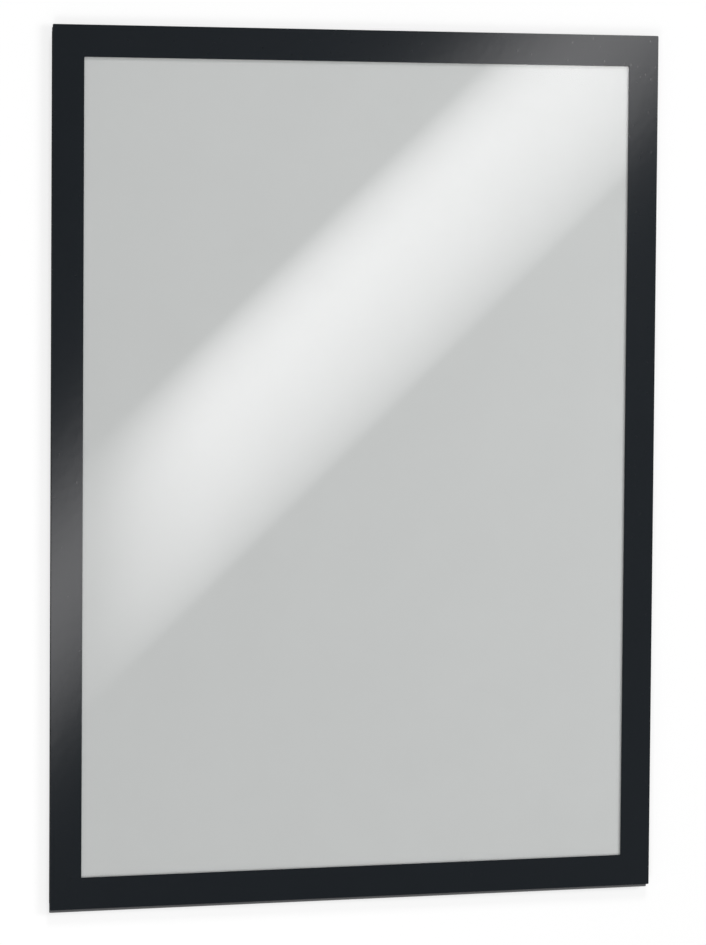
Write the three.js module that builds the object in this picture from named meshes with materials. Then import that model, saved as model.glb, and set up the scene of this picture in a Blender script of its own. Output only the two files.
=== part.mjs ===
// A magnetic display frame for one A3 sheet, hung upright on a steel surface.
// A thin rear leaf clings to the steel. A front leaf with a clear window closes on it by
// magnets all round, and opens like a book cover about a tape hinge along its left edge.
// Millimetres, +Z up. The steel surface is the plane y = 0 and the front faces -Y. The origin
// is on that plane, behind the centre of the front leaf.
import * as THREE from "three";

// The sheet that the frame holds, and the well that the magnets leave for it
const SHEET_WIDTH = 297;
const SHEET_HEIGHT = 420;
const SHEET_CLEARANCE = 1; // per side, between sheet and magnets
const SHEET_OVERLAP_SIDE = 2.3; // how far the front border covers the sheet at left and right
const SHEET_OVERLAP_END = 3.6; // the same at top and bottom

// Closing magnets, alike in both leaves so that they meet face to face
const CLOSING_SIDE_WIDTH = 11.3; // the upright strips
const CLOSING_END_WIDTH = 9.8; // the level strips
const CLOSING_THICKNESS = 0.5;
const BUTT_GAP = 0.3; // between the end of a level strip and the upright strip beside it

// Front leaf
const BORDER_OVERHANG = 1.7; // how far the front border stands out past the magnets
const BORDER_THICKNESS = 0.25;
const BORDER_CORNER_RADIUS = 0.6;
const WINDOW_CORNER_RADIUS = 0.4;
const FILM_THICKNESS = 0.2;
const FILM_CLEARANCE = 0.5; // per side, between window film and magnets

// Rear leaf
const REAR_DROP = 1.4; // the rear leaf sits this much lower than the front leaf
const REAR_RIGHT_INSET = 0.9; // and stops this much short of it, as a finger lip
const REAR_SHEET_THICKNESS = 0.2;
const PANEL_THICKNESS = 0.5;
const PANEL_CLEARANCE = 0.5; // per side, between panel and magnets

// Holding magnets on the back, which grip the steel
const HOLDING_WIDTH = 10;
const HOLDING_THICKNESS = 0.5;
const HOLDING_INSET = 4; // from the rear sheet's edge

// Bonds and running gaps
const BOND = 0.05; // glue line between two layers
const PARTING_GAP = 0.1; // between the magnets of the closed leaves

// Hinge tape, one strip folded lengthwise between the leaves
const TAPE_THICKNESS = 0.08;
const TAPE_HALF_WIDTH = 8;
const TAPE_FOLD_GAP = 0.06; // between the two halves when the frame is closed
const TAPE_BOND = 0.03;
const TAPE_FOLD_CLEARANCE = 0.1; // between the rolled fold and each half
const TAPE_END_INSET = 2; // from the top and bottom of the magnets
const HINGE_CLEARANCE = 0.15; // from the leaves' left edge to the hinge axis

// Facets
const ARC_STEPS = 5; // in the curve steps of a corner
const FOLD_SIDES = 12;

// Outlines, seen from the front
const wellHalfWidth = SHEET_WIDTH / 2 + SHEET_CLEARANCE;
const wellHalfHeight = SHEET_HEIGHT / 2 + SHEET_CLEARANCE;
const well = centred(wellHalfWidth, wellHalfHeight);
const sightWindow = centred(SHEET_WIDTH / 2 - SHEET_OVERLAP_SIDE, SHEET_HEIGHT / 2 - SHEET_OVERLAP_END);
const closingOuter = centred(wellHalfWidth + CLOSING_SIDE_WIDTH, wellHalfHeight + CLOSING_END_WIDTH);
const frontOuter = inset(closingOuter, -BORDER_OVERHANG);
const rearOuter = {
  left: frontOuter.left,
  right: frontOuter.right - REAR_RIGHT_INSET,
  bottom: frontOuter.bottom - REAR_DROP,
  top: frontOuter.top - REAR_DROP,
};

// Depths of the layers' backs, counted from the steel surface towards the viewer
const rearSheetBack = HOLDING_THICKNESS + BOND;
const rearClosingBack = rearSheetBack + REAR_SHEET_THICKNESS + BOND;
const frontClosingBack = rearClosingBack + CLOSING_THICKNESS + PARTING_GAP;
const frontBorderBack = frontClosingBack + CLOSING_THICKNESS + BOND;
const filmBack = frontBorderBack - BOND - FILM_THICKNESS;

// The hinge axis is upright, just outside the left edge and midway between the closed leaves.
const hingeX = frontOuter.left - HINGE_CLEARANCE;
const hingeDepth = frontClosingBack - PARTING_GAP / 2;
const foldRadius = TAPE_FOLD_GAP / 2 + TAPE_THICKNESS;
const hingeRelief = foldRadius + TAPE_BOND - PARTING_GAP / 2; // what the left strips give up to the tape

const borderBlack = new THREE.MeshStandardMaterial({ color: 0x1f2326, roughness: 0.3, metalness: 0 });
const rearGrey = new THREE.MeshStandardMaterial({ color: 0x6a6b6d, roughness: 0.5, metalness: 0 });
const panelGrey = new THREE.MeshStandardMaterial({ color: 0xc2c4c3, roughness: 0.6, metalness: 0 });
const magnetRubber = new THREE.MeshStandardMaterial({ color: 0x2b2a2a, roughness: 0.7, metalness: 0 });
const tapeBlack = new THREE.MeshStandardMaterial({ color: 0x1a1b1d, roughness: 0.45, metalness: 0 });
const clearFilm = new THREE.MeshStandardMaterial({
  color: 0xf4f6f6,
  roughness: 0.1,
  metalness: 0,
  transparent: true,
  opacity: 0.2,
});

// A rectangle about the origin, from its half sizes.
function centred(halfWidth, halfHeight) {
  return { left: -halfWidth, right: halfWidth, bottom: -halfHeight, top: halfHeight };
}

// A rectangle drawn in on all four sides, or drawn out where the amount is negative.
function inset(area, amount) {
  return {
    left: area.left + amount,
    right: area.right - amount,
    bottom: area.bottom + amount,
    top: area.top - amount,
  };
}

// Traces a rectangle with rounded corners on a shape or a hole.
function trace(path, area, radius) {
  const { left, right, bottom, top } = area;
  path.moveTo(left + radius, bottom);
  path.lineTo(right - radius, bottom);
  path.absarc(right - radius, bottom + radius, radius, -Math.PI / 2, 0);
  path.lineTo(right, top - radius);
  path.absarc(right - radius, top - radius, radius, 0, Math.PI / 2);
  path.lineTo(left + radius, top);
  path.absarc(left + radius, top - radius, radius, Math.PI / 2, Math.PI);
  path.lineTo(left, bottom + radius);
  path.absarc(left + radius, bottom + radius, radius, Math.PI, Math.PI * 1.5);
  return path;
}

// A flat layer of the stack: an outline seen from the front, thickened from its back towards the viewer.
function layer(name, shape, back, thickness, material) {
  const options = { depth: thickness, bevelEnabled: false, curveSegments: ARC_STEPS };
  const mesh = new THREE.Mesh(new THREE.ExtrudeGeometry(shape, options), material);
  mesh.name = name;
  mesh.rotation.x = Math.PI / 2;
  mesh.position.y = -back;
  return mesh;
}

// A square-cut rectangular strip or sheet.
function cutSheet(name, area, back, thickness, material) {
  const width = area.right - area.left;
  const height = area.top - area.bottom;
  const mesh = new THREE.Mesh(new THREE.BoxGeometry(width, thickness, height), material);
  mesh.name = name;
  mesh.position.set(area.left + width / 2, -back - thickness / 2, area.bottom + height / 2);
  return mesh;
}

// The four strips that make a rectangular ring: the upright ones run full height.
function stripRing(outer, sideWidth, endWidth) {
  const levelLeft = outer.left + sideWidth + BUTT_GAP;
  const levelRight = outer.right - sideWidth - BUTT_GAP;
  return {
    left: { ...outer, right: outer.left + sideWidth },
    right: { ...outer, left: outer.right - sideWidth },
    top: { left: levelLeft, right: levelRight, bottom: outer.top - endWidth, top: outer.top },
    bottom: { left: levelLeft, right: levelRight, bottom: outer.bottom, top: outer.bottom + endWidth },
  };
}

// Closing magnets of one leaf. The left strip is thinner, on the side that meets the hinge tape.
function closingMagnets(prefix, back, reliefAtBack) {
  const strips = stripRing(closingOuter, CLOSING_SIDE_WIDTH, CLOSING_END_WIDTH);
  return Object.entries(strips).map(([side, area]) => {
    const relief = side === "left" ? hingeRelief : 0;
    const stripBack = reliefAtBack ? back + relief : back;
    return cutSheet(`${prefix}_${side}`, area, stripBack, CLOSING_THICKNESS - relief, magnetRubber);
  });
}

// One half of the hinge tape, flat against its leaf.
function tapeHalf(name, back) {
  const left = hingeX + foldRadius + TAPE_FOLD_CLEARANCE;
  const area = {
    left,
    right: left + TAPE_HALF_WIDTH,
    bottom: closingOuter.bottom + TAPE_END_INSET,
    top: closingOuter.top - TAPE_END_INSET,
  };
  return cutSheet(name, area, back, TAPE_THICKNESS, tapeBlack);
}

// The rolled fold of the hinge tape, round about the hinge axis.
function tapeFold() {
  const length = closingOuter.top - closingOuter.bottom - 2 * TAPE_END_INSET;
  const roll = new THREE.CylinderGeometry(foldRadius, foldRadius, length, FOLD_SIDES);
  const mesh = new THREE.Mesh(roll, tapeBlack);
  mesh.name = "hinge_tape_fold";
  mesh.rotation.x = Math.PI / 2;
  mesh.position.set(hingeX, -hingeDepth, 0);
  return mesh;
}

// Rear leaf: what stays on the steel
function rearLeaf() {
  const leaf = new THREE.Group();
  const holding = stripRing(inset(rearOuter, HOLDING_INSET), HOLDING_WIDTH, HOLDING_WIDTH);
  for (const [side, area] of Object.entries(holding)) {
    leaf.add(cutSheet(`holding_magnet_${side}`, area, 0, HOLDING_THICKNESS, magnetRubber));
  }
  const sheet = trace(new THREE.Shape(), rearOuter, BORDER_CORNER_RADIUS);
  leaf.add(layer("rear_sheet", sheet, rearSheetBack, REAR_SHEET_THICKNESS, rearGrey));
  leaf.add(...closingMagnets("rear_magnet", rearClosingBack, false));
  const panel = inset(well, PANEL_CLEARANCE);
  leaf.add(cutSheet("backing_panel", panel, rearClosingBack, PANEL_THICKNESS, panelGrey));
  leaf.add(tapeHalf("hinge_tape_rear_half", hingeDepth - foldRadius));
  leaf.add(tapeFold());
  return leaf;
}

// Front leaf: what swings open
function frontLeaf() {
  const leaf = new THREE.Group();
  leaf.add(tapeHalf("hinge_tape_front_half", hingeDepth + TAPE_FOLD_GAP / 2));
  leaf.add(...closingMagnets("front_magnet", frontClosingBack, true));
  leaf.add(cutSheet("window_film", inset(well, FILM_CLEARANCE), filmBack, FILM_THICKNESS, clearFilm));
  const border = trace(new THREE.Shape(), frontOuter, BORDER_CORNER_RADIUS);
  border.holes.push(trace(new THREE.Path(), sightWindow, WINDOW_CORNER_RADIUS));
  leaf.add(layer("front_border", border, frontBorderBack, BORDER_THICKNESS, borderBlack));
  return leaf;
}

const frame = new THREE.Group();
frame.add(rearLeaf(), frontLeaf());

export default frame;
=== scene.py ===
"""Looks of a magnetic display frame: films and magnet strips laminated into two thin leaves."""
import math

import bmesh
import bpy
from mathutils import Matrix, Vector


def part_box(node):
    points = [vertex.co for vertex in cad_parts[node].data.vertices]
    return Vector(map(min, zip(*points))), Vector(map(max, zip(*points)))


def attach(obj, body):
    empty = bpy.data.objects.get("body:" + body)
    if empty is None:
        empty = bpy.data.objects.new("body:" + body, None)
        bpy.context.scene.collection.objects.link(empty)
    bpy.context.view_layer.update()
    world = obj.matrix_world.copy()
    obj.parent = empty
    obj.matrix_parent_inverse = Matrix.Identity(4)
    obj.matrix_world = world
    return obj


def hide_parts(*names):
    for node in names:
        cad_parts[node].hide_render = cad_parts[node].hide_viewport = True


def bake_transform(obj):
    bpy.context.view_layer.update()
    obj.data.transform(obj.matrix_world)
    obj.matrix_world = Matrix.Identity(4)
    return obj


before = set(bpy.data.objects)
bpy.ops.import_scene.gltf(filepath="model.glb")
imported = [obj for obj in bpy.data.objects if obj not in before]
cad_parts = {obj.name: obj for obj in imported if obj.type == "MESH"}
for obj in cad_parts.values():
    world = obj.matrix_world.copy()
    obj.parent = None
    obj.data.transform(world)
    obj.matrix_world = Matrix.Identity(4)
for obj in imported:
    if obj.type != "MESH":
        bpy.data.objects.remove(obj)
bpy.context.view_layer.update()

# Holding magnets
# Four strips of flexible magnet on the back, which grip the steel. They are ferrite powder in
# rubber, rolled out to a ribbon, slit to width with a knife, cut to length and glued on.
SIDES = ("left", "right", "top", "bottom")
KNIFE_EDGE = 0.00006  # metres, the roundness that the knife leaves
KNIFE_CORNER = 0.00012
LEAST_CORNER = 0.00001
CORNER_STEPS = 6
EDGE_STEPS = 3
FLAT_FACE = 0.999  # how far a face's normal points along Y, to count as front or back
NOISE_ROUGHNESS = 0.55
RUBBER_DARK = (0.021, 0.020, 0.020, 1)
RUBBER_DUSTY = (0.037, 0.036, 0.035, 1)
RUBBER_GRAIN = (2600, 2600, 2600)  # blotches per metre along X, Y and Z
RUBBER_DUST = (60, 60, 60)
RUBBER_POWDER = (0.38, 0.64)  # the levels of powder that are darkest and dustiest
ROLLER_ACROSS = 2100  # roller marks per metre, across a strip and along it
ROLLER_ALONG = 14
RUBBER_ROUGHNESS = (0.50, 0.76)
RUBBER_SPECULAR = 0.4
RUBBER_RELIEF = (0.35, 0.00004)  # strength, and height in metres


class Wire:
    """A node's output in a shader tree. Arithmetic on wires adds Math nodes."""

    def __init__(self, socket):
        self.socket = socket

    @staticmethod
    def node(tree, kind, settings=None, sockets=None, output=0):
        """Adds a node, gives it its settings, then its sockets' values or links."""
        made = tree.nodes.new(kind)
        for name, value in (settings or {}).items():
            if name == "stops":
                points = made.color_ramp.elements
                for stop, _ in value[1:-1]:
                    points.new(stop)
                for point, (stop, grey) in zip(points, value):
                    point.position = stop
                    point.color = (grey, grey, grey, 1)
            else:
                setattr(made, name, value)
        for name, value in (sockets or {}).items():
            if isinstance(value, Wire):
                tree.links.new(value.socket, made.inputs[name])
            else:
                made.inputs[name].default_value = value
        return Wire(made.outputs[output]) if made.outputs else None

    def _math(self, operation, first, second):
        tree = self.socket.id_data
        return Wire.node(tree, "ShaderNodeMath", {"operation": operation}, {0: first, 1: second})

    def __add__(self, other):
        return self._math("ADD", self, other)

    def __radd__(self, other):
        return self._math("ADD", other, self)

    def __sub__(self, other):
        return self._math("SUBTRACT", self, other)

    def __rsub__(self, other):
        return self._math("SUBTRACT", other, self)

    def __mul__(self, other):
        return self._math("MULTIPLY", self, other)

    def __rmul__(self, other):
        return self._math("MULTIPLY", other, self)

    def __pow__(self, other):
        return self._math("POWER", self, other)

    def __gt__(self, other):
        return self._math("GREATER_THAN", self, other)


def start_finish(name):
    """A new material with an empty shader tree."""
    material = bpy.data.materials.new(name)
    material.use_nodes = True
    material.node_tree.nodes.clear()
    return material, material.node_tree


def show(tree, shader):
    """Closes a material with the shader that it shows."""
    Wire.node(tree, "ShaderNodeOutputMaterial", sockets={"Surface": shader})


def end_finish(tree, sockets):
    """Closes a material with one Principled shader that has these sockets."""
    show(tree, Wire.node(tree, "ShaderNodeBsdfPrincipled", sockets=sockets))


def speckle(tree, stretch, detail=2.0):
    """Noise from 0 to 1, with this many blotches per metre along X, Y and Z."""
    spot = Wire.node(tree, "ShaderNodeTexCoord", output="Object")
    scaled = Wire.node(tree, "ShaderNodeMapping", sockets={"Vector": spot, "Scale": stretch})
    sockets = {"Vector": scaled, "Scale": 1.0, "Detail": detail, "Roughness": NOISE_ROUGHNESS}
    return Wire.node(tree, "ShaderNodeTexNoise", sockets=sockets)


def between(low, high, share):
    """What lies at this share of the way from low to high."""
    return low + (high - low) * share


def rescaled(tree, value, source, target, settings=None):
    """A value from one range turned into the other, and held at its ends."""
    sockets = {0: value, 1: source[0], 2: source[1], 3: target[0], 4: target[1]}
    return Wire.node(tree, "ShaderNodeMapRange", settings, sockets)


def tinted(tree, share, first, second):
    """A colour between two, by a share from 0 to 1."""
    settings = {"data_type": "RGBA", "clamp_factor": True}
    return Wire.node(tree, "ShaderNodeMix", settings, {0: share, 6: first, 7: second}, output=2)


def raised(tree, height, strength, metres, below=None):
    """A surface normal from a height that counts for this many metres, on a broader one below."""
    sockets = {"Height": height, "Strength": strength, "Distance": metres}
    if below:
        sockets["Normal"] = below
    return Wire.node(tree, "ShaderNodeBump", sockets=sockets)


def magnet_rubber(name, along):
    """Charcoal ferrite rubber: powdery grain, and faint roller lines along the strip."""
    material, tree = start_finish(name)
    grain = speckle(tree, RUBBER_GRAIN, detail=4)
    lines = speckle(tree, [ROLLER_ALONG if axis == along else ROLLER_ACROSS for axis in "XYZ"])
    dust = speckle(tree, RUBBER_DUST, detail=3)
    powder = rescaled(tree, 0.45 * grain + 0.3 * lines + 0.25 * dust, RUBBER_POWDER, (0, 1))
    end_finish(tree, {
        "Base Color": tinted(tree, powder, RUBBER_DARK, RUBBER_DUSTY),
        "Roughness": between(*RUBBER_ROUGHNESS, grain),
        "Specular IOR Level": RUBBER_SPECULAR,
        "Normal": raised(tree, 0.55 * lines + 0.45 * grain, *RUBBER_RELIEF),
    })
    return material


RUBBER_UPRIGHT = magnet_rubber("magnet_rubber_upright", "Z")
RUBBER_LEVEL = magnet_rubber("magnet_rubber_level", "X")


def seen_from_front(node):
    """A node's (left, right, bottom, top) and the places of its back and front along Y."""
    low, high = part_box(node)
    return (low.x, high.x, low.z, high.z), high.y, low.y


def outline(area, y, inset, radius):
    """A ring of points at one depth: a rectangle drawn in on all sides, its corners rounded."""
    left, right, bottom, top = area
    bend = max(radius - inset, LEAST_CORNER)
    away = inset + bend
    corners = (
        (right - away, bottom + away, -90),
        (right - away, top - away, 0),
        (left + away, top - away, 90),
        (left + away, bottom + away, 180),
    )
    ring = []
    for x, z, start in corners:
        for step in range(CORNER_STEPS + 1):
            turn = math.radians(start + 90 * step / CORNER_STEPS)
            ring.append((x + bend * math.cos(turn), y, z + bend * math.sin(turn)))
    return ring


def rolled_edges(back, front, edge):
    """Each ring's place along Y and its inset, from the back face round the side to the front."""
    turns = [math.radians(90 * step / EDGE_STEPS) for step in range(EDGE_STEPS + 1)]
    steps = [(edge * (1 - math.cos(turn)), edge * (1 - math.sin(turn))) for turn in turns]
    rear_edge = [(back - depth, inset) for depth, inset in steps]
    front_edge = [(front + depth, inset) for depth, inset in reversed(steps)]
    return rear_edge + front_edge


def skinned(name, rings, joins_up, finishes):
    """A closed mesh over rings of points. It has two end caps, or joins up with its first ring."""
    shape = bmesh.new()
    loops = [[shape.verts.new(point) for point in ring] for ring in rings]
    pairs = list(zip(loops, loops[1:]))
    if joins_up:
        pairs.append((loops[-1], loops[0]))
    else:
        shape.faces.new(loops[0])
        shape.faces.new(loops[-1])
    for near, far in pairs:
        for here in range(len(near)):
            there = (here + 1) % len(near)
            shape.faces.new((near[here], near[there], far[there], far[here]))
    bmesh.ops.recalc_face_normals(shape, faces=shape.faces)
    for face in shape.faces:
        flat = abs(face.normal.y) > FLAT_FACE
        face.smooth = not flat
        face.material_index = 0 if flat else len(finishes) - 1
    mesh = bpy.data.meshes.new(name)
    shape.to_mesh(mesh)
    shape.free()
    for finish in finishes:
        mesh.materials.append(finish)
    piece = bpy.data.objects.new(name, mesh)
    bpy.context.scene.collection.objects.link(piece)
    return piece


def cut_sheet(name, node, corner, edge, finishes):
    """A flat rectangular piece in its node's place, with rounded corners and edges."""
    area, back, front = seen_from_front(node)
    rings = [outline(area, y, inset, corner) for y, inset in rolled_edges(back, front, edge)]
    return skinned(name, rings, False, finishes)


def place(piece, body, slot, *nodes):
    """A finished piece moves with its leaf and stands for its nodes."""
    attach(piece, body)
    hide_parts(*nodes)


def magnet_strips(group, body):
    """Four knife-cut magnet strips of one leaf."""
    for side in SIDES:
        node = f"{group}_{side}"
        rubber = RUBBER_UPRIGHT if side in ("left", "right") else RUBBER_LEVEL
        strip = cut_sheet(f"{node}_strip", node, KNIFE_CORNER, KNIFE_EDGE, [rubber])
        place(strip, body, "magnet_rubber", node)


magnet_strips("holding_magnet", "rear_leaf")

# Rear sheet
# The grey film that carries the rear leaf, die-cut in one piece. Its lower edge stands out below
# the front leaf as a finger lip.
BORDER_CORNER = 0.0006
DIE_EDGE = 0.00007
REAR_GREY = (0.136, 0.138, 0.143, 1)
REAR_GREY_WORN = (0.167, 0.169, 0.173, 1)
REAR_PEBBLE = (1900, 1900, 1900)
REAR_CLOUDS = (45, 45, 45)
REAR_ROUGHNESS = (0.36, 0.50)
REAR_RELIEF = (0.2, 0.00003)
REAR_CUT = (0.149, 0.150, 0.153, 1)
CUT_SHEAR = (1500, 9000, 1500)
CUT_ROUGHNESS = (0.5, 0.7)
CUT_RELIEF = (0.3, 0.00002)


def rear_film():
    """Mid grey satin film with a fine pebbled face."""
    material, tree = start_finish("rear_film")
    pebble = speckle(tree, REAR_PEBBLE, detail=3)
    clouds = speckle(tree, REAR_CLOUDS, detail=3)
    end_finish(tree, {
        "Base Color": tinted(tree, 0.45 * pebble + 0.55 * clouds, REAR_GREY, REAR_GREY_WORN),
        "Roughness": between(*REAR_ROUGHNESS, pebble),
        "Normal": raised(tree, pebble, *REAR_RELIEF),
    })
    return material


def die_cut_edge(name, colour, paler):
    """The sheared side of a film, rougher than its faces and drawn along the stroke."""
    material, tree = start_finish(name)
    shear = speckle(tree, CUT_SHEAR, detail=3)
    end_finish(tree, {
        "Base Color": tinted(tree, shear, colour, paler),
        "Roughness": between(*CUT_ROUGHNESS, shear),
        "Normal": raised(tree, shear, *CUT_RELIEF),
    })
    return material


rear_finishes = [rear_film(), die_cut_edge("rear_film_cut", REAR_GREY_WORN, REAR_CUT)]
rear_sheet = cut_sheet("rear_sheet_film", "rear_sheet", BORDER_CORNER, DIE_EDGE, rear_finishes)
place(rear_sheet, "rear_leaf", "rear_film", "rear_sheet")

# Rear magnets
# Four more strips of the same ribbon, bonded on the rear sheet round the panel. The left one is
# thinner to make room for the hinge tape.
magnet_strips("rear_magnet", "rear_leaf")

# Backing panel
# The stiff pale grey sheet that shows through the window. It is calendered plastic with a fine
# matte face, guillotined to size and bonded on the rear sheet between the magnets.
PANEL_EDGE = 0.00005
PANEL_CORNER = 0.0003
PANEL_GREY = (0.639, 0.651, 0.645, 1)
PANEL_PALE = (0.679, 0.691, 0.685, 1)
PANEL_TOOTH = (2400, 2400, 2400)
PANEL_CLOUDS = (22, 22, 22)
PANEL_ROUGHNESS = (0.52, 0.64)
PANEL_SPECULAR = 0.4
PANEL_RELIEF = (0.12, 0.00003)


def panel_film():
    """Pale grey film with matte tooth and a hardly seen cloudiness."""
    material, tree = start_finish("panel_film")
    tooth = speckle(tree, PANEL_TOOTH, detail=3)
    clouds = speckle(tree, PANEL_CLOUDS, detail=3)
    end_finish(tree, {
        "Base Color": tinted(tree, 0.4 * tooth + 0.6 * clouds, PANEL_GREY, PANEL_PALE),
        "Roughness": between(*PANEL_ROUGHNESS, tooth),
        "Specular IOR Level": PANEL_SPECULAR,
        "Normal": raised(tree, tooth, *PANEL_RELIEF),
    })
    return material


panel = cut_sheet("backing_panel_sheet", "backing_panel", PANEL_CORNER, PANEL_EDGE, [panel_film()])
place(panel, "rear_leaf", "panel_film", "backing_panel")

# Hinge tape
# One strip of black plastic tape, folded lengthwise between the leaves and stuck to both. Its
# fold at the left edge is the hinge, which lies flat again when the front leaf is turned right over;
# the piece here is built folded, as when shut, and doesn't follow the leaf.
TAPE_FOLD_STEPS = 10
TAPE_LENGTH_STEPS = 24
TAPE_BLACK = (0.0085, 0.0090, 0.0100, 1)
TAPE_SHEEN = (0.0150, 0.0155, 0.0165, 1)
TAPE_WARP = (2600, 2600, 160)
TAPE_WEFT = (160, 2600, 2600)
TAPE_ROUGHNESS = (0.36, 0.56)
TAPE_RELIEF = (0.3, 0.00003)


def tape_film():
    """Black tape with a fine cross-hatched emboss."""
    material, tree = start_finish("hinge_tape")
    hatch = 0.5 * speckle(tree, TAPE_WARP) + 0.5 * speckle(tree, TAPE_WEFT)
    end_finish(tree, {
        "Base Color": tinted(tree, hatch, TAPE_BLACK, TAPE_SHEEN),
        "Roughness": between(*TAPE_ROUGHNESS, hatch),
        "Normal": raised(tree, hatch, *TAPE_RELIEF),
    })
    return material


def folded_tape(name):
    """A ribbon in a flat U about the hinge axis, from the rear half round the fold to the front half."""
    rear_low, rear_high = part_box("hinge_tape_rear_half")
    front_low, front_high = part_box("hinge_tape_front_half")
    fold_low, fold_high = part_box("hinge_tape_fold")
    axis = (fold_low + fold_high) / 2
    outer = (rear_high.y - front_low.y) / 2
    inner = (rear_low.y - front_high.y) / 2
    turns = [math.radians(90 + 180 * step / TAPE_FOLD_STEPS) for step in range(TAPE_FOLD_STEPS + 1)]
    section = [(rear_high.x, rear_high.y)]
    for turn in turns:
        section.append((axis.x + outer * math.cos(turn), axis.y + outer * math.sin(turn)))
    section.append((front_high.x, front_low.y))
    section.append((front_high.x, front_high.y))
    for turn in reversed(turns):
        section.append((axis.x + inner * math.cos(turn), axis.y + inner * math.sin(turn)))
    section.append((rear_high.x, rear_low.y))
    rings = []
    for step in range(TAPE_LENGTH_STEPS + 1):
        z = between(rear_low.z, rear_high.z, step / TAPE_LENGTH_STEPS)
        rings.append([(x, y, z) for x, y in section])
    return skinned(name, rings, False, [tape_film()]), axis, inner


tape, hinge_axis, fold_gap = folded_tape("hinge_tape_folded")
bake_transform(tape)
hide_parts("hinge_tape_rear_half", "hinge_tape_fold", "hinge_tape_front_half")

# Front magnets
# The front leaf's own four strips. They meet the rear ones face to face and hold the leaf shut.
magnet_strips("front_magnet", "front_leaf")

# Window film
# A sheet of clear polyester that covers the sheet on show, bonded behind the front border. It is
# glossy on both faces, with a trace of handling haze.
FILM_EDGE = 0.00004
FILM_CORNER = 0.0003
FILM_MIRROR = 0.039  # of the light that meets one face head on
FILM_RISE = 5  # the power by which that share grows as the view flattens
FILM_TINT = (0.990, 0.991, 0.991, 1)
FILM_HAZE = (35, 35, 35)
FILM_ROUGHNESS = (0.012, 0.026)


def clear_film():
    """Clear polyester, glossy by its angle and slightly hazed in patches."""
    material, tree = start_finish("clear_film")
    haze = speckle(tree, FILM_HAZE, detail=4)
    gloss = Wire.node(tree, "ShaderNodeBsdfAnisotropic", sockets={
        "Color": (1, 1, 1, 1),
        "Roughness": between(*FILM_ROUGHNESS, haze),
    })
    clear = Wire.node(tree, "ShaderNodeBsdfTransparent", sockets={"Color": FILM_TINT})
    slant = Wire.node(tree, "ShaderNodeLayerWeight", sockets={"Blend": 0.5}, output="Facing")
    share = between(FILM_MIRROR, 1, slant ** FILM_RISE)
    show(tree, Wire.node(tree, "ShaderNodeMixShader", sockets={0: share, 1: clear, 2: gloss}))
    return material


window = cut_sheet("window_film_sheet", "window_film", FILM_CORNER, FILM_EDGE, [clear_film()])
place(window, "front_leaf", "clear_film", "window_film")

# Front border
# The face of the frame: black satin plastic film, die-cut in one piece with the window opening.
# It is bonded over the magnets and the rim of the window film.
SIGHT_WIDTH = 0.2924  # metres, the opening
SIGHT_HEIGHT = 0.4128
SIGHT_CORNER = 0.0004
FRONT_HALF_WIDTH = 0.1625
BORDER_BLACK = (0.0096, 0.0124, 0.0156, 1)
BORDER_BLOOM = (0.0120, 0.0152, 0.0188, 1)
BORDER_GRAIN = (3200, 3200, 3200)
BORDER_WAVES = (210, 210, 210)
BORDER_PATCHES = (30, 30, 30)
BORDER_ROUGHNESS = (0.09, 0.13)
BORDER_SPECULAR = 0.46
BORDER_RELIEF = (1.0, 0.00001)
BORDER_LEAN = 0.0038  # how the film falls away towards its lower side
BORDER_BOW = -0.0095  # and how it curves away towards its right side, per metre
PIP_SPACING = (320, 320, 200)  # pips per metre along X, Y and Z
PIP_REACH = (0.06, 0.17)  # from full to none, as a share of their spacing
PIP_GROUPS = (260, 260, 260)
PIP_LEVEL = 0.57  # of the noise that leaves a pip standing
PIP_MORE_RIGHT = 0.42  # per metre, more of them where hands open the leaf
PIP_MORE_UP = 0.16
PIP_GLOSS = 0.5
PIP_ROUGHNESS = 0.12
BORDER_CUT = (0.012, 0.014, 0.016, 1)
BORDER_CUT_PALE = (0.028, 0.030, 0.032, 1)


def axes(tree, vector, names):
    """Single coordinates of a vector, by their letters."""
    return [Wire.node(tree, "ShaderNodeSeparateXYZ", sockets={0: vector}, output=name) for name in names]


def border_film():
    """Black satin film: fine grain, faint waves, and sparse glossy pips that catch the light."""
    material, tree = start_finish("border_film")
    grain = speckle(tree, BORDER_GRAIN)
    waves = speckle(tree, BORDER_WAVES)
    bloom = speckle(tree, BORDER_PATCHES, detail=3)
    spot = Wire.node(tree, "ShaderNodeTexCoord", output="Object")
    scaled = Wire.node(tree, "ShaderNodeMapping", sockets={"Vector": spot, "Scale": PIP_SPACING})
    away = Wire.node(tree, "ShaderNodeTexVoronoi", sockets={"Vector": scaled, "Scale": 1.0})
    pip = rescaled(tree, away, PIP_REACH, (1, 0))
    right, up = axes(tree, spot, "XZ")
    sparse = speckle(tree, PIP_GROUPS) + PIP_MORE_RIGHT * right + PIP_MORE_UP * up > PIP_LEVEL
    across = right + FRONT_HALF_WIDTH
    bowed = raised(tree, BORDER_LEAN * up + BORDER_BOW * across * across, strength=1.0, metres=1.0)
    end_finish(tree, {
        "Base Color": tinted(tree, 0.35 * grain + 0.65 * bloom, BORDER_BLACK, BORDER_BLOOM),
        "Roughness": between(*BORDER_ROUGHNESS, grain),
        "Specular IOR Level": BORDER_SPECULAR,
        "Coat Weight": PIP_GLOSS * pip * sparse,
        "Coat Roughness": PIP_ROUGHNESS,
        "Normal": raised(tree, waves + 0.12 * grain, *BORDER_RELIEF, bowed),
    })
    return material


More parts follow.
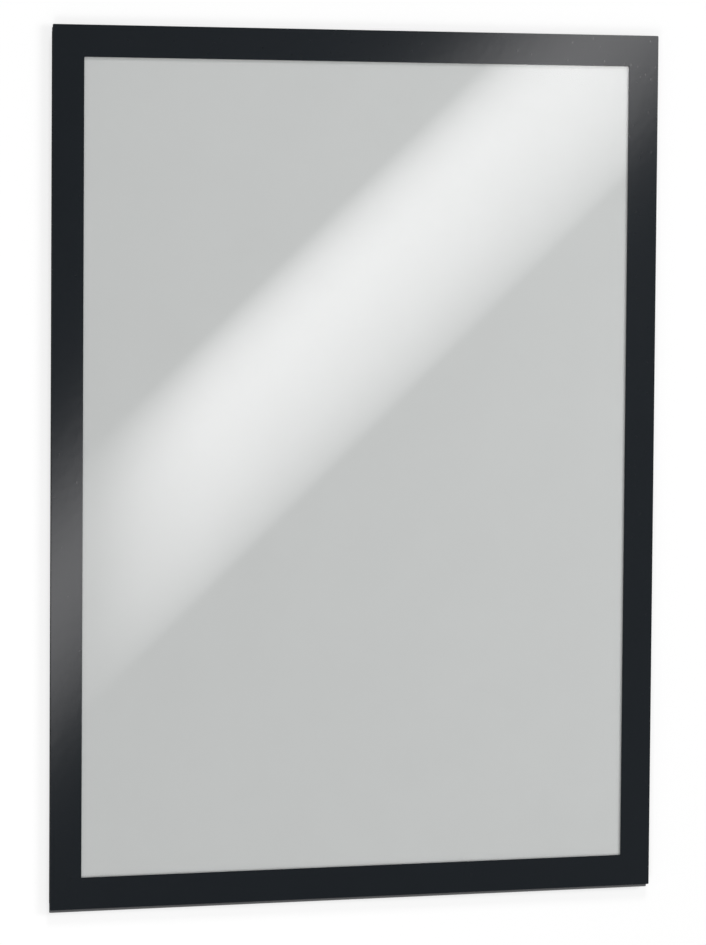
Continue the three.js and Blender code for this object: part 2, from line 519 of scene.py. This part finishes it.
sight = (-SIGHT_WIDTH / 2, SIGHT_WIDTH / 2, -SIGHT_HEIGHT / 2, SIGHT_HEIGHT / 2)
front_area, front_back, front_face = seen_from_front("front_border")
front_edges = rolled_edges(front_back, front_face, DIE_EDGE)
outside = [outline(front_area, y, inset, BORDER_CORNER) for y, inset in front_edges]
inside = [outline(sight, y, -inset, SIGHT_CORNER) for y, inset in front_edges]
front_finishes = [border_film(), die_cut_edge("border_film_cut", BORDER_CUT, BORDER_CUT_PALE)]
border = skinned("front_border_film", outside + inside[::-1], True, front_finishes)
place(border, "front_leaf", "border_film", "front_border")

# Wall
# The white background close behind the frame, which takes its soft shade. It is seen only from the
# front, so that the back can be looked at through it.
WALL_SIZE = 4.0
WALL_GAP = 0.0025
WALL_WHITE = (0.42, 0.42, 0.42, 1)
WALL_LIFT = 0.600
LIFT_FALL_RIGHT = 0.125  # per metre, which evens out the lamps' fall-off
LIFT_FALL_UP = 0.05


def in_sight(tree):
    """1 where the eye looks straight at something, or in a mirror or through the film, and else 0."""
    kinds = ("Is Camera Ray", "Is Glossy Ray", "Is Transmission Ray")
    eye, mirror, film = (Wire.node(tree, "ShaderNodeLightPath", output=kind) for kind in kinds)
    return eye + mirror + film > 0.5


def world_axes(tree):
    """How far the shaded point lies to the right and up, in metres."""
    return axes(tree, Wire.node(tree, "ShaderNodeNewGeometry", output="Position"), "XZ")


def white_wall():
    """Matt white, lifted for the eye and for mirrors so that its unshaded part is pure white."""
    material, tree = start_finish("white_wall")
    paint = Wire.node(tree, "ShaderNodeBsdfDiffuse", sockets={"Color": WALL_WHITE})
    right, up = world_axes(tree)
    level = WALL_LIFT - LIFT_FALL_RIGHT * right - LIFT_FALL_UP * up
    lift = Wire.node(tree, "ShaderNodeEmission", sockets={"Strength": level * in_sight(tree)})
    face = Wire.node(tree, "ShaderNodeAddShader", sockets={0: paint, 1: lift})
    behind = Wire.node(tree, "ShaderNodeNewGeometry", output="Backfacing")
    clear = Wire.node(tree, "ShaderNodeBsdfTransparent")
    show(tree, Wire.node(tree, "ShaderNodeMixShader", sockets={0: behind, 1: face, 2: clear}))
    return material


def card(name, size, matrix, finish):
    """A flat rectangle of the stage, facing its own +Z."""
    width, height = size[0] / 2, size[1] / 2
    mesh = bpy.data.meshes.new(name)
    corners = [(-width, -height, 0), (width, -height, 0), (width, height, 0), (-width, height, 0)]
    mesh.from_pydata(corners, [], [(0, 1, 2, 3)])
    mesh.materials.append(finish)
    piece = bpy.data.objects.new(name, mesh)
    bpy.context.scene.collection.objects.link(piece)
    piece.matrix_world = matrix
    piece.visible_shadow = False
    return piece


def mirrored_only(piece):
    """Hides a piece of the stage from all but mirrors."""
    piece.visible_camera = False
    piece.visible_diffuse = False
    piece.visible_transmission = False


facing_front = Matrix.Rotation(math.radians(90), 4, "X")
wall_place = Matrix.Translation((0, WALL_GAP, 0)) @ facing_front
wall = card("wall", (WALL_SIZE, WALL_SIZE), wall_place, white_wall())
wall.visible_diffuse = False

# Strip light
# A long soft light in front, slanted up to the right, which the window alone mirrors as one broad
# streak. It fades out towards its left end and beyond the upper right corner.
MIRROR_DEPTH = -1.2026  # metres
MIRROR_SCALE = 1.5588  # from a place on the frame to the place in front that it mirrors
MIRROR_SHIFT = Vector((0.3999, 0, -0.0767))
BAND_START = Vector((-0.1506, 0, -0.0609))  # the band's sizes are as mirrored on the frame
BAND_SLANT = math.radians(43.15)
BAND_LOW = -0.052
BAND_HIGH = 0.074
BAND_BEFORE = 0.160  # how far it reaches before and after its start
BAND_AFTER = 0.700
BAND_FAR = 0.480  # where its far end starts to fade
BAND_GLOW = 4.4
BAND_COLOUR = (1.0, 0.984, 0.992, 1)
BAND_ACROSS = [  # levels from its lower to its upper edge
    (0.014, 0.0), (0.048, 0.24), (0.103, 0.43), (0.222, 0.70), (0.349, 0.88), (0.476, 1.0),
    (0.556, 1.0), (0.619, 0.90), (0.683, 0.70), (0.738, 0.37), (0.782, 0.0),
]
LEVEL_FROM = -0.200  # left and right end of the levels below
LEVEL_TO = 0.180
BAND_LEVEL = [
    (0.0, 0.0), (0.13, 0.16), (0.158, 0.22), (0.20, 0.46), (0.229, 0.63), (0.264, 0.76),
    (0.313, 0.91), (0.368, 0.93), (0.50, 0.93), (0.79, 0.85), (1.0, 0.84),
]


def mirrored_place(spot):
    """Where a light stands, from the place on the frame that mirrors it."""
    stand = spot * MIRROR_SCALE + MIRROR_SHIFT
    stand.y = MIRROR_DEPTH
    return stand


def strip_glow(name, across, levels):
    """See-through emission with these levels across the light and from left to right."""
    material, tree = start_finish(name)
    length, width = axes(tree, Wire.node(tree, "ShaderNodeTexCoord", output="Generated"), "XY")
    fade = Wire.node(tree, "ShaderNodeValToRGB", {"stops": across}, {0: width})
    far = (BAND_BEFORE + BAND_FAR) / (BAND_BEFORE + BAND_AFTER)
    end = rescaled(tree, length, (far, 1), (1, 0))
    left, right = (mirrored_place(Vector((x, 0, 0))).x for x in (LEVEL_FROM, LEVEL_TO))
    along = (world_axes(tree)[0] - left) * (1 / (right - left))
    level = Wire.node(tree, "ShaderNodeValToRGB", {"stops": levels}, {0: along})
    strength = BAND_GLOW * fade * end * level
    glow = Wire.node(tree, "ShaderNodeEmission", sockets={"Color": BAND_COLOUR, "Strength": strength})
    clear = Wire.node(tree, "ShaderNodeBsdfTransparent")
    show(tree, Wire.node(tree, "ShaderNodeAddShader", sockets={0: glow, 1: clear}))
    return material


def strip_light(name, across, levels, mirror, nearer=0.0):
    """One slanted light that one piece alone mirrors, set nearer to the frame by this much."""
    along = Vector((math.cos(BAND_SLANT), 0, math.sin(BAND_SLANT)))
    up = Vector((-math.sin(BAND_SLANT), 0, math.cos(BAND_SLANT)))
    middle = BAND_START + along * (BAND_AFTER - BAND_BEFORE) / 2 + up * (BAND_LOW + BAND_HIGH) / 2
    turn = Matrix((along, up, along.cross(up))).transposed().to_4x4()
    size = ((BAND_BEFORE + BAND_AFTER) * MIRROR_SCALE, (BAND_HIGH - BAND_LOW) * MIRROR_SCALE)
    stand = Matrix.Translation(mirrored_place(middle) + Vector((0, nearer, 0)))
    piece = card(name, size, stand @ turn, strip_glow(f"{name}_glow", across, levels))
    mirrored_only(piece)
    alone = bpy.data.collections.new(f"{name}_mirror")
    alone.objects.link(mirror)
    piece.light_linking.receiver_collection = alone


strip_light("strip_light", BAND_ACROSS, BAND_LEVEL, window)

# Border light
# A second light on the same line, which the border alone mirrors. The satin film is less flat than
# the window, so its highlights are broader and reach further to the left.
EDGE_NEARER = 0.004  # metres, so that the two lights aren't in one plane
EDGE_ACROSS = [
    (0.0, 0.0), (0.036, 0.25), (0.095, 0.42), (0.222, 0.69), (0.349, 0.88), (0.476, 1.0),
    (0.55, 0.88), (0.634, 0.65), (0.72, 0.40), (0.806, 0.20), (0.87, 0.05), (0.90, 0.0),
]
EDGE_LEVEL = [(0.0, 0.92), (0.42, 0.92), (0.60, 1.0), (1.0, 1.0)]

strip_light("border_light", EDGE_ACROSS, EDGE_LEVEL, border, EDGE_NEARER)

# Dark card
# A dim screen behind the strip light, so that the black border mirrors the dark front of the
# studio, a little lighter at the right. It fades out all round and is there for mirrors alone.
DARK_SIZE = 6.0
DARK_PLACE = Vector((0.35, -1.7, 0))
DARK_SPAN = (0.29, 0.85)  # metres, where the left and the right border mirror it
DARK_LEVELS = (0.092, 0.150)
DARK_FALL = 0.5  # how much it falls off downwards, against its rise to the right
DARK_RIM = 0.5  # the share of its radius over which it fades out


def dim_screen():
    """Dim emission that rises to the right and upwards, and is see-through at its rim."""
    material, tree = start_finish("dark_card")
    right, up = world_axes(tree)
    level = rescaled(tree, right + DARK_FALL * up, DARK_SPAN, DARK_LEVELS)
    glow = Wire.node(tree, "ShaderNodeEmission", sockets={"Strength": level})
    spot = Wire.node(tree, "ShaderNodeTexCoord", output="Object")
    scale = (2 / DARK_SIZE, 2 / DARK_SIZE, 1)
    radius = Wire.node(tree, "ShaderNodeMapping", sockets={"Vector": spot, "Scale": scale})
    ball = {"gradient_type": "SPHERICAL"}
    inwards = Wire.node(tree, "ShaderNodeTexGradient", ball, {"Vector": radius}, output="Fac")
    share = rescaled(tree, inwards, (0, DARK_RIM), (0, 1), {"interpolation_type": "SMOOTHSTEP"})
    clear = Wire.node(tree, "ShaderNodeBsdfTransparent")
    show(tree, Wire.node(tree, "ShaderNodeMixShader", sockets={0: share, 1: clear, 2: glow}))
    return material


dark_place = Matrix.Translation(DARK_PLACE) @ facing_front
mirrored_only(card("dark_card", (DARK_SIZE, DARK_SIZE), dark_place, dim_screen()))

# Lamps and sky
# Large soft boxes in front and above, one behind for the back, and an even white sky. Lamps and
# sky together light a colour about as it is written.
SKY_FILL = 0.42


def soft_box(name, spot, size, watts, mirrored):
    """A square area lamp aimed at the middle of the frame. Its outline may be kept out of mirrors."""
    lamp = bpy.data.lights.new(name, "AREA")
    lamp.size = size
    lamp.energy = watts
    piece = bpy.data.objects.new(name, lamp)
    piece.visible_glossy = mirrored
    bpy.context.scene.collection.objects.link(piece)
    aim = (-spot).to_track_quat("-Z", "Y").to_matrix().to_4x4()
    piece.matrix_world = Matrix.Translation(spot) @ aim


soft_box("front_lamp", Vector((-0.9, -1.6, -1.3)), size=0.8, watts=10.6, mirrored=False)
soft_box("side_lamp", Vector((1.1, -1.0, 0.28)), size=0.6, watts=8.8, mirrored=False)
soft_box("top_lamp", Vector((0, -1.8, 3.15)), size=0.75, watts=41.4, mirrored=False)
soft_box("back_lamp", Vector((0.8, 1.9, 1.2)), size=1.2, watts=40, mirrored=True)

world = bpy.data.worlds.new("white_sky")
bpy.context.scene.world = world
world.use_nodes = True
sky = world.node_tree
sky.nodes.clear()
sky_level = between(SKY_FILL, 1, in_sight(sky))
white = Wire.node(sky, "ShaderNodeBackground", sockets={"Color": (1, 1, 1, 1), "Strength": sky_level})
Wire.node(sky, "ShaderNodeOutputWorld", sockets={"Surface": white})

# Camera
# It stands to the left of the frame and a little above its middle, at the distance and with the
# lens that give the perspective of the photograph.
CAMERA_SPOT = Vector((-0.7157, -2.1498, 0.1373))
CAMERA_AIM = Vector((-0.00334, -0.0022, -0.00322))
CAMERA_ROLL = math.radians(0.434)
CAMERA_LENS = 168.64  # millimetres
CAMERA_SENSOR = 36

camera_lens = bpy.data.cameras.new("camera")
camera_lens.lens = CAMERA_LENS
camera_lens.sensor_width = CAMERA_SENSOR
camera = bpy.data.objects.new("camera", camera_lens)
bpy.context.scene.collection.objects.link(camera)
camera_turn = (CAMERA_AIM - CAMERA_SPOT).to_track_quat("-Z", "Y").to_matrix().to_4x4()
camera.matrix_world = (
    Matrix.Translation(CAMERA_SPOT) @ camera_turn @ Matrix.Rotation(CAMERA_ROLL, 4, "Z")
)
bpy.context.scene.camera = camera
bpy.context.scene.view_settings.view_transform = "Standard"
